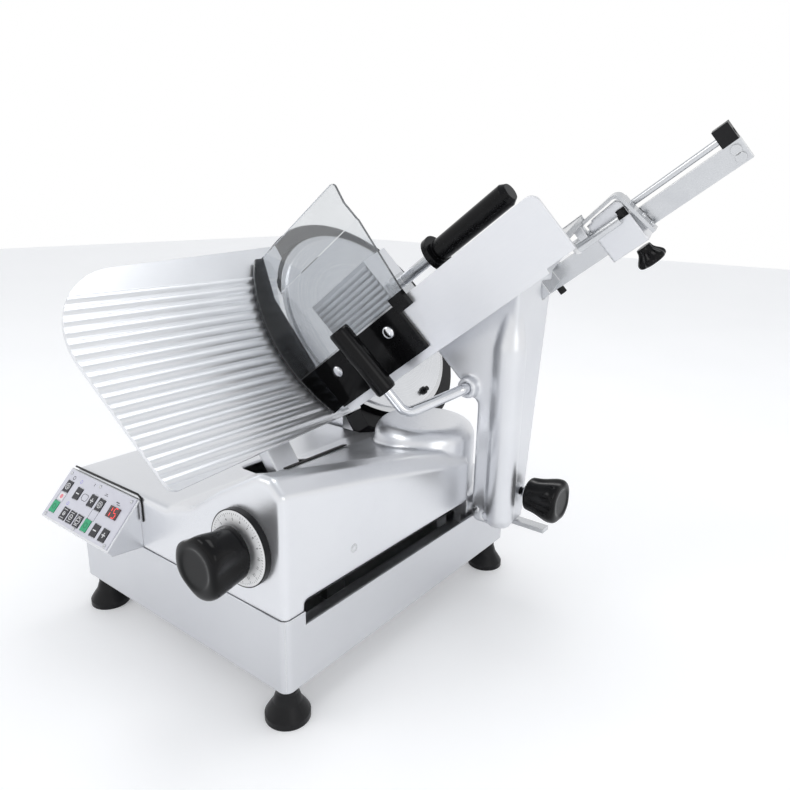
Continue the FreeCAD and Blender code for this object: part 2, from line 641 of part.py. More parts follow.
# ---------------------------------------------------------------- carriage and its drive
def make_carriage():
    keep(rod(FLOOR, ("rod_x", -9, "rod_z"), 436, "rod_radius", TO_Y), "carriage_rod")
    floor = "base_bottom + sheet_thick"
    frame = fuse(box(FLOOR, (-18, -1, 80), (2, 418, 95.5)),
                 box(FLOOR, (-30, -13.8, floor), (-9, 0, 144.9)),
                 box(FLOOR, (-10, -13.8, 64), (12, 0, 144.9)),
                 box(FLOOR, (-30, 417, floor), (-9, 430.8, 144.9)),
                 box(FLOOR, (-10, 417, 64), (12, 430.8, 144.9)),
                 box(FLOOR, (-72, 388, floor), (-54, 408, "pulley_z + 10")),
                 box(FLOOR, (-72, 388, floor), (-29, 430.8, 60)))
    keep(cut(frame, rod(FLOOR, ("rod_x", -20, "rod_z"), 470, "rod_radius + 0.06", TO_Y),
             rod(FLOOR, (-75, 398, "pulley_z"), 30, 4.06, TO_X)), "carriage_frame")

    clamp = box(FLOOR, ("pulley_x - 5", 345, 116), (-25, 379, 134))
    room = box(FLOOR, ("pulley_x - 6", 344, "pulley_z + drive_radius - 0.1"),
               (-31, 380, "pulley_z + drive_radius + 2.3"))
    block = fuse(box(FLOOR, (-26, 338, 113), (10, 404, 143)),
                 box(FLOOR, (-14, 343, 95.9), (-2, 399, 114)),
                 box(FLOOR, (5, 346, 118.5), (40, 371, 131.5)),
                 rod(FLOOR, ("pivot_x", 346, "pivot_z"), 25, 9, TO_Y),
                 cut(clamp, room))
    block = cut(block, rod(FLOOR, ("rod_x", 300, "rod_z"), 150, "rod_radius + 0.06", TO_Y),
                rod(FLOOR, ("pivot_x", 340, "pivot_z"), 50, "pin_fit + 0.06", TO_Y))
    keep(block, "carriage_block")
    keep(rod(FLOOR, ("pivot_x", 331, "pivot_z"), 55, "pin_fit", TO_Y), "pivot_pin")

    for name, y in (("drive_pulley_wheel", 32), ("idler_pulley_wheel", 398)):
        wheel = rod(FLOOR, ("pulley_x - 5", y, "pulley_z"), 10, "drive_radius", TO_X)
        spindle = rod(FLOOR, ("pulley_x - 25", y, "pulley_z"), 32, 4, TO_X)
        keep(fuse(wheel, spindle), name)
    side = basis(Vector(0, 1, 0), Vector(0, 0, 1), Vector(1, 0, 0))
    keep(belt_loop(place(FLOOR, "pulley_x - 4", turn=side), (32, "pulley_z", "drive_radius + 0.3"),
                   (398, "pulley_z", "drive_radius + 0.3 - 0.0001"), 1.6, 8), "carriage_belt")
    motor = fuse(rod(FLOOR, (-114, 32, "pulley_z"), 48, 20, TO_X),
                 box(FLOOR, (-108, 14, "base_bottom + sheet_thick"), (-72, 50, "pulley_z")))
    keep(cut(motor, rod(FLOOR, (-72, 32, "pulley_z"), 10, 4.06, TO_X)), "carriage_motor")


# ---------------------------------------------------------------- arm that carries the food tray
def make_arm():
    front = [(22, "slot_bottom"), (72, "slot_bottom"), (72, 520), (-140, 430), (-50, 347), (22, 283)]
    face = plate(place(FLOOR, y=430, turn=FRONT), front, 110)
    flank = [(330, "slot_bottom - 1"), (385, "slot_bottom - 1"), (391, 180), (426, 500), (330, 500)]
    depth = plate(place(FLOOR, x=-150, turn=SIDE), flank, 240)
    round_corners(face, [front[0], front[5]], 10)
    column = common(face, depth)
    rib = fuse(rod(FLOOR, (60, 341, 125), 235, 20),
               solid("Cone", place(FLOOR, 60, 341, 360), Radius1=20, Radius2=6, Height=78),
               solid("Cone", place(FLOOR, 60, 341, "slot_bottom"), Radius1=15, Radius2=20, Height=10))
    boss = rod(FLOOR, (10, 318, 303), 13, 14, TO_Y)
    arm = fuse(column, rib, boss)
    above = box(TRAY, (250, "floor_w", -200), (700, 400, 500))
    pocket_room = box(FLOOR, (15, 345.7, 100), (66, 371.3, 150))
    pin_hole = rod(FLOOR, ("pivot_x", 320, "pivot_z"), 80, "pin_fit + 0.06", TO_Y)
    stud_hole = rod(FLOOR, (52, 378.5, 155), 60, 5.1, TO_X)
    lever_hole = rod(FLOOR, (58, 379, 110), 16, 3.1)
    rod_hole = rod(FLOOR, (10, 317, 303), 12, 7.05, TO_Y)
    seats = rail_lugs()
    arm = cut(arm, above, pocket_room, pin_hole, stud_hole, lever_hole, rod_hole, *seats)
    keep(arm, "arm_casting")

    knob = new_body(place(FLOOR, 84, 378.5, 155, TO_X))
    lobed(knob, 31, 48, 8, 3.5, 9)
    stud = rod(FLOOR, (54, 378.5, 155), 31, 5, TO_X)
    collar = rod(FLOOR, (78, 378.5, 155), 7, 11, TO_X)
    keep(fuse(knob, stud, collar), "clamp_knob")
    lever = fuse(box(FLOOR, (50, 371, 106), (112, 387, 112)), rod(FLOOR, (58, 379, 108), 14, 3))
    keep(lever, "release_lever")

    grip = place(TRAY, "handle_v", 191, "handle_n", ALONG_W)
    body = turned(grip, [(7.06, 0), ("grip_radius - 1.5", 0), ("grip_radius", 3), ("grip_radius", 97),
                         ("grip_radius - 1.5", 100), (0, 100), (0, 92), (7.06, 92)])
    keep(body, "carriage_grip")
    make_handle_rod()


def rail_lugs():
    """The two lugs that carry the product holder's rail; they sit in seats in the arm."""
    return [box(TRAY, ("floor_rear - 40", "rail_high - 20", low), ("rail_v + 1", "floor_w", high))
            for low, high in ((215, 245), (300, 325))]


def make_handle_rod():
    """The bent rod of the carriage handle: down along W, then back to the arm's boss."""
    top = TRAY.multVec(spot("handle_v", 282.9, "handle_n"))
    bend = TRAY.multVec(spot("handle_v", 152, "handle_n"))
    socket = FLOOR.multVec(spot(10, 327, 303))
    mouth = FLOOR.multVec(spot(10, 312, 303))
    corners = [top, bend, mouth, socket]
    edges = []
    start = corners[0]
    for index, radius in ((1, 16), (2, 9)):
        corner = corners[index]
        into = (corners[index - 1] - corner).normalize()
        away = (corners[index + 1] - corner).normalize()
        half = into.getAngle(away) / 2
        reach = radius / math.tan(half)
        first = corner + into * reach
        last = corner + away * reach
        inward = (into + away).normalize()
        middle = corner + inward * (radius / math.sin(half) - radius)
        edges.append(Part.makeLine(start, first))
        edges.append(Part.Arc(first, middle, last).toShape())
        start = last
    edges.append(Part.makeLine(start, corners[-1]))
    path = Part.Wire(edges)
    circle = Part.Wire([Part.makeCircle(7, top, (bend - top).normalize())])
    handle = doc.addObject("Part::Feature", "handle")
    handle.Shape = path.makePipeShell([circle], True, False)
    keep(handle, "handle_rod")


# ---------------------------------------------------------------- food tray, guard and pusher
def make_tray():
    floor_plan = [("wall_v", "tray_start"), ("wall_v", "floor_end"), ("floor_rear - 60", "floor_end"),
                  ("floor_rear", "floor_end - 60"), ("floor_rear", "tray_start")]
    flat = basis(Vector(1, 0, 0), Vector(0, 0, 1), Vector(0, -1, 0))
    floor = plate(place(TRAY, y="floor_w + floor_thick", turn=flat), floor_plan, "floor_thick")

    wall_plan = [("tray_start", "floor_w + floor_thick"), ("wall_end", "floor_w + floor_thick"),
                 ("wall_end", "wall_top"), ("tray_start", "wall_top")]
    wall = plate(place(TRAY, x="wall_v + wall_thick", turn=UPRIGHT), wall_plan, "wall_thick")
    round_corners(wall, [wall_plan[2]], 12)
    keep(fuse(floor, wall), "food_tray")

    panel = box(TRAY, ("wall_v - 6", "floor_w + 12", "tray_start"),
                ("wall_v", "wall_top - 2", "wall_start - 2"))
    clip = box(TRAY, ("wall_v - 9", "wall_top - 14", "wall_start - 3"),
               ("wall_v", "wall_top + 8", "wall_start + 20"))
    holes = [rod(TRAY, ("wall_v - 10", "floor_w + 58", n), 12, 3.1, ALONG_V) for n in (54, 165)]
    keep(cut(fuse(panel, clip), *holes), "guard_panel")
    make_guard()


def make_guard():
    """Two bent clear panels across the end of the tray, and a flange that sweeps the blade's edge."""
    bent = [("wall_v", "wall_top"), ("wall_v + 24", "guard_kink"), ("wall_v + 62", "guard_top"),
            ("wall_v + 65.4", "guard_top - 2.2"), ("wall_v + 27.9", "guard_kink - 1.2"),
            ("wall_v + 4", "wall_top")]
    panels = plate(place(TRAY, z="guard_start"), bent, "guard_end - guard_start")
    side = basis(Vector(0, 0, -1), Vector(0, 1, 0), Vector(1, 0, 0))
    pattern = [(0, "wall_top - 5"), (0, "guard_kink - 3"), (13, "guard_kink + 28"), (19, "guard_top + 1"),
               (201, "guard_top + 1"), (201, "wall_top - 5")]
    blank = plate(place(TRAY, "wall_v - 20", 0, "guard_end", side), pattern, 130)
    round_corners(blank, [pattern[3]], 12)
    edge = [("wall_v - 45", 205), ("wall_v + 4", 205), ("wall_v + 4", "wall_top"),
            ("wall_v + 27.9", "guard_kink - 1"), ("wall_v + 65", "guard_top - 2"),
            ("wall_v + 36", "guard_top + 6"), ("wall_v - 65", "guard_top - 60")]
    flange = plate(place(TRAY, z="guard_start"), edge, "tray_start - guard_start - 0.2")
    disc = rod(BLADE, ("blade_y", "blade_s", 0), 60, "flange_radius")
    keep(fuse(common(panels, blank), common(flange, disc)), "guard")


def make_rail():
    """The steel bar and rod that the product holder slides on, with their stops and screws."""
    bar = box(TRAY, ("rail_v", "rail_low", 200), ("rail_v + 8", "rail_high", "rail_end"))
    post = box(TRAY, ("rail_v", "rail_high - 1", 326), ("rail_v + 8", "rail_high + 16", 338))
    guide = rod(TRAY, ("rail_v + 4", "rail_high + 9", 330), "rail_end - 332", 4)
    spots = [("rail_high - 9", 578), ("rail_low + 8", 578)]
    holes = [rod(TRAY, ("rail_v - 1", w, n), 12, 3.1, ALONG_V) for w, n in spots]
    keep(cut(fuse(bar, post, guide, *rail_lugs()), *holes), "slide_rail")
    cap = box(TRAY, ("rail_v - 4", "rail_high", "rail_end - 20"),
              ("rail_v + 12", "rail_high + 22", "rail_end - 1"))
    cap = cut(cap, rod(TRAY, ("rail_v + 4", "rail_high + 9", "rail_end - 30"), 31, 4.06))
    stop = rod(TRAY, ("rail_v + 4", "rail_low - 9", 318), 9, 5, ALONG_W)
    keep(group(cap, stop), "rail_caps")

    screws = [screw("rail_v", w, n) for w, n in spots]
    screws += [screw("wall_v - 6", "floor_w + 58", n) for n in (54, 165)]
    keep(group(*screws), "tray_screws")


def screw(v, w, n):
    """A round-head screw whose head sits against a face at v and whose shank runs along +V."""
    head = rod(TRAY, (v + " - 3.4", w, n), 3.4, 6, ALONG_V)
    shank = rod(TRAY, (v + " - 1", w, n), 6.6, 2.8, ALONG_V)
    return fuse(head, shank)


# ---------------------------------------------------------------- product holder
def make_slider():
    block = box(TRAY, ("rail_v - 14", "rail_low - 10", 402), ("rail_v + 22", "rail_high + 20", 452))
    bar_room = box(TRAY, ("rail_v - 0.3", "rail_low - 0.3", 390), ("rail_v + 8.3", "rail_high + 0.3", 470))
    rod_room = rod(TRAY, ("rail_v + 4", "rail_high + 9", 390), 80, 4.06)
    neck = box(TRAY, ("rail_v + 1", "rail_high", 390), ("rail_v + 7", "rail_high + 8", 470))
    stud_hole = rod(TRAY, ("rail_v + 4", "rail_low - 12", 436), 9, 4.1, ALONG_W)
    pad = plate(place(TRAY, x="rail_v - 2", turn=UPRIGHT),
                [(410, "rail_high + 20"), (452, "rail_high + 20"), (446, "rail_high + 25"),
                 (410, "rail_high + 22.56")], 12)
    keep(fuse(cut(block, bar_room, rod_room, neck, stud_hole), pad), "slider_block")
    star = new_body(place(TRAY, "rail_v + 4", "rail_low - 16", 436, DOWN_W))
    lobed(star, 19, 24, 6, 3, 7)
    keep(fuse(star, rod(TRAY, ("rail_v + 4", "rail_low - 18", 436), 13, 4, ALONG_W)), "slider_knob")


def make_pusher():
    strap = [(372, "rail_high + 26"), (452, "rail_high + 34"), (458, "rail_high + 30"), (466, "rail_low - 6"),
             (461, "rail_low - 6"), (452, "rail_high + 20"), (446, "rail_high + 25"), (372, "rail_high + 20")]
    arm = fuse(plate(place(TRAY, x="rail_v - 2", turn=UPRIGHT), strap, 16),
               box(TRAY, (398, "rail_high + 26", 180), (440, 300, 186)),
               box(TRAY, (398, "rail_high + 26", 180), (406, "rail_high + 44", 400)),
               box(TRAY, (398, "rail_high + 26", 372), ("rail_v - 2", "rail_high + 34", 400)),
               rod(TRAY, ("rail_v - 21", "rail_high + 4", 376), 66, 6),
               box(TRAY, ("rail_v - 24", "rail_high + 3", 388), ("rail_v - 12", "rail_high + 30", 398)),
               rod(TRAY, (432, 288, 174), 160, 8))
    keep(arm, "pusher_arm")
    shell = box(TRAY, (392, "floor_w + floor_thick + 4", 62), (450, 340, 180))
    hollow = box(TRAY, (398, "floor_w + floor_thick - 1", 68), (455, 334, 174))
    bore = rod(TRAY, (432, 288, 170), 20, 8)
    keep(cut(shell, hollow, bore), "pusher_plate")
    profile = [(8.05, 0), (24, 0), (24, 8), (13, 8), (15, 12), (15, 126), (11, 133), (0, 133),
               (0, 90), (8.05, 90)]
    keep(turned(place(TRAY, 432, 288, 245), profile), "pusher_grip")


def check_and_write():
    doc.recompute()
    for item in doc.Objects:
        if "Invalid" in item.State or "Error" in item.State:
            raise RuntimeError("failed object: %s (%s)" % (item.Label, item.Name))
    names = [piece.Label for piece in PIECES]
    if len(set(names)) != len(names):
        raise RuntimeError("two pieces share a name")
    for piece in PIECES:
        if piece.Shape.isNull() or not piece.Shape.isValid():
            raise RuntimeError("bad shape: " + piece.Label)
        piece.Shape.exportStep("parts/%s.step" % piece.Label)


make_base()
make_housing()
make_thickness_knob()
make_gauge()
make_panel()
make_blade()
make_blade_drive()
make_carriage()
make_arm()
make_tray()
make_rail()
make_slider()
make_pusher()
check_and_write()
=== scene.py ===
import math

import bmesh
import bpy
from mathutils import Matrix, Vector


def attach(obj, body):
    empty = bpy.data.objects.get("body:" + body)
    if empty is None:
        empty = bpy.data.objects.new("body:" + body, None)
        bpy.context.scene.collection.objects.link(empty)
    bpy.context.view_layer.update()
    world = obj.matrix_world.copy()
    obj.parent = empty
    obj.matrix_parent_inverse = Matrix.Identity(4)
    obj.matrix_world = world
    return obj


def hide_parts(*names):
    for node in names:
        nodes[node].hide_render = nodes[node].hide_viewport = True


# Deli meat slicer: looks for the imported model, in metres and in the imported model's frame.
# Stations below are in millimetres from the front right foot, as the machine's drawing gives them.

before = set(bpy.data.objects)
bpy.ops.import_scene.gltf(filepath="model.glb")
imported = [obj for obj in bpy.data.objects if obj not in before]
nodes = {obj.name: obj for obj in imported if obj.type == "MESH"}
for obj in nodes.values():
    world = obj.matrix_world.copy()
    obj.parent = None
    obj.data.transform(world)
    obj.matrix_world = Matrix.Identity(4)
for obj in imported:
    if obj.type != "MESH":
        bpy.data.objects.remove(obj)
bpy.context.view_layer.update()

LEAN = math.radians(37.53)
TURN = math.radians(17.5)
CENTRE = Vector((-57.157, 273.5, 0))
N = Vector((math.cos(LEAN), 0, math.sin(LEAN)))
S = Vector((-math.sin(LEAN), 0, math.cos(LEAN)))
Y = Vector((0, 1, 0))
V = Y * math.cos(TURN) + S * math.sin(TURN)
W = S * math.cos(TURN) - Y * math.sin(TURN)


def row(x, y, z):
    """A station from the front right foot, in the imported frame."""
    return (Vector((x, y, z)) - CENTRE) / 1000


def on_blade(y, s, n):
    return (Y * y + S * s + N * n - CENTRE) / 1000


def on_tray(v, w, n):
    return (V * v + W * w + N * n - CENTRE) / 1000


# ---------------------------------------------------------------- materials
class Nodes:
    """A short way to wire a node material."""

    def __init__(self, name):
        self.material = bpy.data.materials.new(name)
        self.material.use_nodes = True
        self.tree = self.material.node_tree
        self.shader = self.tree.nodes["Principled BSDF"]
        self.coords = self.add("ShaderNodeTexCoord").outputs["Object"]

    def add(self, kind, **values):
        node = self.tree.nodes.new(kind)
        for key, value in values.items():
            setattr(node, key, value)
        return node

    def link(self, source, target):
        self.tree.links.new(source, target)

    def turned(self, scale, leaning=False, tray=False):
        """Object coordinates, turned into the leaning frame if asked, and stretched."""
        out = self.coords
        if leaning or tray:
            lean = self.add("ShaderNodeMapping")
            lean.inputs["Rotation"].default_value = (0, LEAN, 0)
            self.link(out, lean.inputs["Vector"])
            out = lean.outputs["Vector"]
        if tray:
            turn = self.add("ShaderNodeMapping")
            turn.inputs["Rotation"].default_value = (-TURN, 0, 0)
            self.link(out, turn.inputs["Vector"])
            out = turn.outputs["Vector"]
        stretch = self.add("ShaderNodeMapping")
        stretch.inputs["Scale"].default_value = scale
        self.link(out, stretch.inputs["Vector"])
        return stretch.outputs["Vector"]

    def noise(self, vector, scale, detail=4.0, rough=0.55):
        node = self.add("ShaderNodeTexNoise")
        node.inputs["Scale"].default_value = scale
        node.inputs["Detail"].default_value = detail
        node.inputs["Roughness"].default_value = rough
        self.link(vector, node.inputs["Vector"])
        return node.outputs["Fac"]

    def spread(self, value, low, high, start=0.3, stop=0.7):
        node = self.add("ShaderNodeMapRange")
        node.inputs["From Min"].default_value = start
        node.inputs["From Max"].default_value = stop
        node.inputs["To Min"].default_value = low
        node.inputs["To Max"].default_value = high
        self.link(value, node.inputs["Value"])
        return node.outputs["Result"]

    def blend(self, amount, first, second):
        node = self.add("ShaderNodeMix", data_type="RGBA")
        self.link(amount, node.inputs["Factor"])
        for socket, colour in ((node.inputs[6], first), (node.inputs[7], second)):
            if isinstance(colour, tuple):
                socket.default_value = (*colour, 1)
            else:
                self.link(colour, socket)
        return node.outputs[2]

    def maths(self, operation, first, second):
        node = self.add("ShaderNodeMath", operation=operation)
        for socket, value in ((node.inputs[0], first), (node.inputs[1], second)):
            if isinstance(value, (int, float)):
                socket.default_value = value
            else:
                self.link(value, socket)
        return node.outputs[0]

    def rounded(self, radius):
        """Normals that turn softly round sharp edges, and a mask that is 1 along those edges."""
        bevel = self.add("ShaderNodeBevel", samples=6)
        bevel.inputs["Radius"].default_value = radius
        flat = self.add("ShaderNodeNewGeometry")
        dot = self.add("ShaderNodeVectorMath", operation="DOT_PRODUCT")
        self.link(bevel.outputs["Normal"], dot.inputs[0])
        self.link(flat.outputs["Normal"], dot.inputs[1])
        mask = self.spread(dot.outputs["Value"], 1.0, 0.0, 0.80, 0.99)
        return bevel.outputs["Normal"], mask


def surface(name, light, dark, metal, rough, grain=900.0, stretch=(1, 1, 1), bump=0.05, edge=None,
            radius=0.0012, leaning=False, tray=False, cloud=9.0, coat=0.0, coat_rough=0.05, specular=0.5):
    """A finish: two tones in soft clouds, a grain in roughness and bump, and paler or darker edges."""
    m = Nodes(name)
    shader = m.shader
    soft = m.noise(m.turned((1, 1, 1)), cloud, 5.0)
    fine = m.noise(m.turned(stretch, leaning, tray), grain, 6.0, 0.6)
    tone = m.spread(m.maths("ADD", m.maths("MULTIPLY", soft, 0.65), m.maths("MULTIPLY", fine, 0.35)), 0, 1)
    colour = m.blend(tone, dark, light)
    normal, mask = m.rounded(radius)
    if edge:
        worn = m.maths("MULTIPLY", mask, m.spread(m.noise(m.turned((1, 1, 1)), 60.0), 0.25, 0.9))
        colour = m.blend(worn, colour, edge)
    m.link(colour, shader.inputs["Base Color"])
    shader.inputs["Metallic"].default_value = metal
    m.link(m.spread(m.maths("ADD", m.maths("MULTIPLY", soft, 0.4), m.maths("MULTIPLY", fine, 0.6)),
                    rough * 0.82, rough * 1.2), shader.inputs["Roughness"])
    shader.inputs["Specular IOR Level"].default_value = specular
    if coat:
        shader.inputs["Coat Weight"].default_value = coat
        shader.inputs["Coat Roughness"].default_value = coat_rough
    lift = m.add("ShaderNodeBump")
    lift.inputs["Strength"].default_value = bump
    lift.inputs["Distance"].default_value = 0.0004
    m.link(fine, lift.inputs["Height"])
    m.link(normal, lift.inputs["Normal"])
    m.link(lift.outputs["Normal"], shader.inputs["Normal"])
    return m.material


def smoked(name):
    """Clear smoked sheet, darker in the flange that follows the blade."""
    m = Nodes(name)
    shader = m.shader
    axis = m.add("ShaderNodeVectorMath", operation="DOT_PRODUCT")
    m.link(m.coords, axis.inputs[0])
    axis.inputs[1].default_value = N
    start = on_blade(0, 0, 20.2).dot(N)
    inner = m.spread(axis.outputs["Value"], 0, 1, start, start + 0.0006)
    haze = m.spread(m.noise(m.turned((1, 1, 1)), 14.0), 0.0, 1.0)
    tint = m.blend(haze, (0.74, 0.76, 0.78), (0.80, 0.82, 0.84))
    m.link(m.blend(inner, (0.03, 0.032, 0.035), tint), shader.inputs["Base Color"])
    m.link(m.spread(m.noise(m.turned((1, 1, 1)), 300.0), 0.02, 0.07), shader.inputs["Roughness"])
    shader.inputs["Transmission Weight"].default_value = 0.93
    shader.inputs["IOR"].default_value = 1.46
    shader.inputs["Coat Weight"].default_value = 0.3
    return m.material


def glowing(name, colour, strength, back):
    """Lit segments behind a dark window."""
    m = Nodes(name)
    speckle = m.spread(m.noise(m.turned((1, 1, 1)), 700.0), 0, 1)
    m.link(m.blend(speckle, back, colour), m.shader.inputs["Base Color"])
    m.shader.inputs["Emission Color"].default_value = (*colour, 1)
    m.shader.inputs["Emission Strength"].default_value = strength
    m.link(m.spread(m.noise(m.turned((1, 1, 1)), 300.0), 0.2, 0.35), m.shader.inputs["Roughness"])
    return m.material


def spun(name, centre, light, dark, rough):
    """Metal turned about the blade's axis: fine rings in tone, roughness and bump."""
    m = Nodes(name)
    away = m.add("ShaderNodeVectorMath", operation="DISTANCE")
    m.link(m.coords, away.inputs[0])
    away.inputs[1].default_value = centre
    rings = m.add("ShaderNodeTexNoise", noise_dimensions="1D")
    rings.inputs["Scale"].default_value = 1.0
    rings.inputs["Detail"].default_value = 5.0
    m.link(m.maths("MULTIPLY", away.outputs["Value"], 1500.0), rings.inputs["W"])
    soft = m.noise(m.turned((1, 1, 1)), 11.0)
    tone = m.maths("ADD", m.maths("MULTIPLY", soft, 0.5), m.maths("MULTIPLY", rings.outputs["Fac"], 0.5))
    m.link(m.blend(m.spread(tone, 0, 1), dark, light), m.shader.inputs["Base Color"])
    m.shader.inputs["Metallic"].default_value = 1.0
    m.link(m.spread(rings.outputs["Fac"], rough * 0.75, rough * 1.3), m.shader.inputs["Roughness"])
    normal = m.rounded(0.001)[0]
    lift = m.add("ShaderNodeBump")
    lift.inputs["Strength"].default_value = 0.06
    lift.inputs["Distance"].default_value = 0.0003
    m.link(rings.outputs["Fac"], lift.inputs["Height"])
    m.link(normal, lift.inputs["Normal"])
    m.link(lift.outputs["Normal"], m.shader.inputs["Normal"])
    return m.material


SATIN = surface("satin_aluminium", (0.80, 0.81, 0.83), (0.72, 0.73, 0.76), 0.9, 0.30, 1400.0,
                bump=0.05, edge=(0.90, 0.90, 0.91), radius=0.003, cloud=5.0)
SHEET = surface("sheet_aluminium", (0.68, 0.69, 0.71), (0.60, 0.61, 0.64), 0.9, 0.33, 700.0, (0.25, 0.25, 6),
                0.06, (0.92, 0.92, 0.93), 0.0015, cloud=4.0)
CAST = surface("blasted_casting", (0.80, 0.81, 0.83), (0.70, 0.71, 0.74), 0.9, 0.32, 1600.0,
               bump=0.08, edge=(0.92, 0.92, 0.93), radius=0.004, cloud=7.0)
RIBBED = surface("ribbed_plate", (0.84, 0.85, 0.87), (0.76, 0.77, 0.79), 0.92, 0.33, 500.0, (6, 0.15, 6),
                 0.02, (0.95, 0.95, 0.96), 0.0012, True, cloud=6.0)
TRAY = surface("tray_sheet", (0.84, 0.845, 0.86), (0.75, 0.76, 0.79), 0.9, 0.33, 500.0, (0.12, 7, 7),
               0.06, (0.95, 0.95, 0.95), 0.0012, True, True, cloud=6.0)
STEEL = surface("brushed_steel", (0.70, 0.71, 0.72), (0.55, 0.56, 0.58), 1.0, 0.26, 600.0, (0.1, 7, 7),
                0.06, (0.88, 0.88, 0.88), 0.001, True, True, cloud=12.0)
CHROME = surface("polished_rod", (0.82, 0.83, 0.85), (0.66, 0.67, 0.70), 1.0, 0.15, 400.0, (4, 4, 0.4),
                 0.02, None, 0.0006, cloud=20.0)
INNER = surface("inner_metal", (0.50, 0.51, 0.52), (0.36, 0.37, 0.38), 0.9, 0.42, 900.0,
                bump=0.15, edge=(0.7, 0.7, 0.7), cloud=20.0)
GLOSS = surface("gloss_black", (0.006, 0.006, 0.0065), (0.003, 0.003, 0.0035), 0.0, 0.13, 260.0,
                bump=0.02, edge=(0.012, 0.012, 0.013), radius=0.0015, cloud=30.0, specular=0.16)
MATTE = surface("moulded_black", (0.016, 0.016, 0.017), (0.007, 0.007, 0.008), 0.0, 0.34, 1500.0,
                bump=0.10, edge=(0.03, 0.03, 0.03), radius=0.0012, cloud=25.0, specular=0.18)
RUBBER = surface("foot_rubber", (0.014, 0.014, 0.015), (0.007, 0.007, 0.008), 0.0, 0.36, 1200.0,
                 bump=0.14, edge=(0.03, 0.03, 0.03), radius=0.002, cloud=40.0, specular=0.18)
# painted shade: a near-black finish that stands in for the shade in the gap below the gauge plate
GAP_SHADE = surface("painted_gap_shade", (0.012, 0.012, 0.012), (0.004, 0.004, 0.004), 0.0, 0.7, 900.0,
               bump=0.1, cloud=20.0)
MOTOR = surface("motor_paint", (0.16, 0.17, 0.18), (0.10, 0.105, 0.11), 0.1, 0.45, 900.0,
                bump=0.15, edge=(0.3, 0.3, 0.3), cloud=20.0)
MEMBRANE = surface("membrane", (0.70, 0.70, 0.76), (0.62, 0.62, 0.69), 0.0, 0.42, 2500.0,
                   bump=0.12, edge=(0.8, 0.8, 0.84), radius=0.0006, cloud=40.0)
DIAL_WHITE = surface("dial_white", (0.88, 0.88, 0.88), (0.80, 0.80, 0.81), 0.0, 0.35, 1800.0,
                     bump=0.06, edge=(0.95, 0.95, 0.95), radius=0.0008, cloud=30.0)
INK = surface("printed_ink", (0.05, 0.05, 0.055), (0.02, 0.02, 0.022), 0.0, 0.5, 2500.0,
              bump=0.05, radius=0.0002)
WHITE_INK = surface("white_ink", (0.85, 0.85, 0.86), (0.74, 0.74, 0.76), 0.0, 0.5, 2500.0,
                    bump=0.05, radius=0.0002)
PINK_INK = surface("pink_ink", (0.85, 0.30, 0.34), (0.76, 0.22, 0.27), 0.0, 0.5, 2500.0,
                   bump=0.05, radius=0.0002)
LILAC_INK = surface("lilac_ink", (0.45, 0.42, 0.80), (0.38, 0.36, 0.72), 0.0, 0.5, 2500.0,
                    bump=0.05, radius=0.0002)
KEY_GREEN = surface("key_green", (0.03, 0.42, 0.20), (0.02, 0.34, 0.15), 0.0, 0.4, 1800.0,
                    bump=0.08, radius=0.0008, edge=(0.1, 0.5, 0.3))
KEY_GREEN_DARK = surface("key_green_dark", (0.015, 0.22, 0.10), (0.01, 0.16, 0.07), 0.0, 0.4, 1800.0,
                         bump=0.08, radius=0.0002)
KEY_BLACK = surface("key_black", (0.03, 0.03, 0.04), (0.016, 0.016, 0.02), 0.0, 0.38, 1800.0, bump=0.08,
                    radius=0.0008, edge=(0.1, 0.1, 0.11))
WINDOW = surface("display_window", (0.10, 0.035, 0.035), (0.05, 0.018, 0.018), 0.0, 0.2, 900.0, bump=0.02,
                 radius=0.0006, coat=0.5)
SMOKED = smoked("smoked_sheet")
LIT = glowing("lit_segments", (0.9, 0.05, 0.05), 1.2, (0.5, 0.02, 0.02))
HUB = on_blade(433, 425, 12)
SPUN = spun("spun_cover", HUB, (0.84, 0.845, 0.86), (0.70, 0.71, 0.73), 0.22)
EDGE = spun("blade_steel", HUB, (0.80, 0.80, 0.81), (0.60, 0.61, 0.62), 0.13)

FINISH = {
    SATIN: ["housing", "panel_housing", "blade_support", "arm_casting"],
    SHEET: ["base_tray", "bottom_plate"],
    RIBBED: ["gauge_plate"],
    CAST: ["gauge_bracket", "carriage_block", "carriage_frame", "slider_block"],
    TRAY: ["food_tray", "pusher_plate"],
    STEEL: ["slide_rail", "pusher_arm", "release_lever", "tray_screws"],
    CHROME: ["handle_rod", "carriage_rod", "pivot_pin"],
    INNER: ["thickness_cam", "gauge_rod", "blade_bearings", "blade_shaft", "motor_pulley_wheel",
            "drive_pulley_wheel", "idler_pulley_wheel"],
    GLOSS: ["guard_panel", "carriage_grip", "pusher_grip", "thickness_knob", "clamp_knob", "slider_knob"],
    MATTE: ["blade_ring", "rail_caps", "cover_knob", "dial_ring", "panel_screws", "cover_pin"],
    RUBBER: ["feet", "blade_belt", "carriage_belt"],
    MOTOR: ["blade_motor", "carriage_motor"],
    MEMBRANE: ["panel_face"],
    WINDOW: ["count_display"],
    SMOKED: ["guard"],
    SPUN: ["blade_cover"],
    EDGE: ["blade"],
    KEY_GREEN: ["key_blade_start", "key_carriage_start"],
}
for material, names in FINISH.items():
    for name in names:
        if name in nodes:
            nodes[name].data.materials.clear()
            nodes[name].data.materials.append(material)
for name, node in nodes.items():
    if name.startswith("key_") and name not in FINISH[KEY_GREEN]:
        node.data.materials.clear()
        node.data.materials.append(KEY_BLACK)


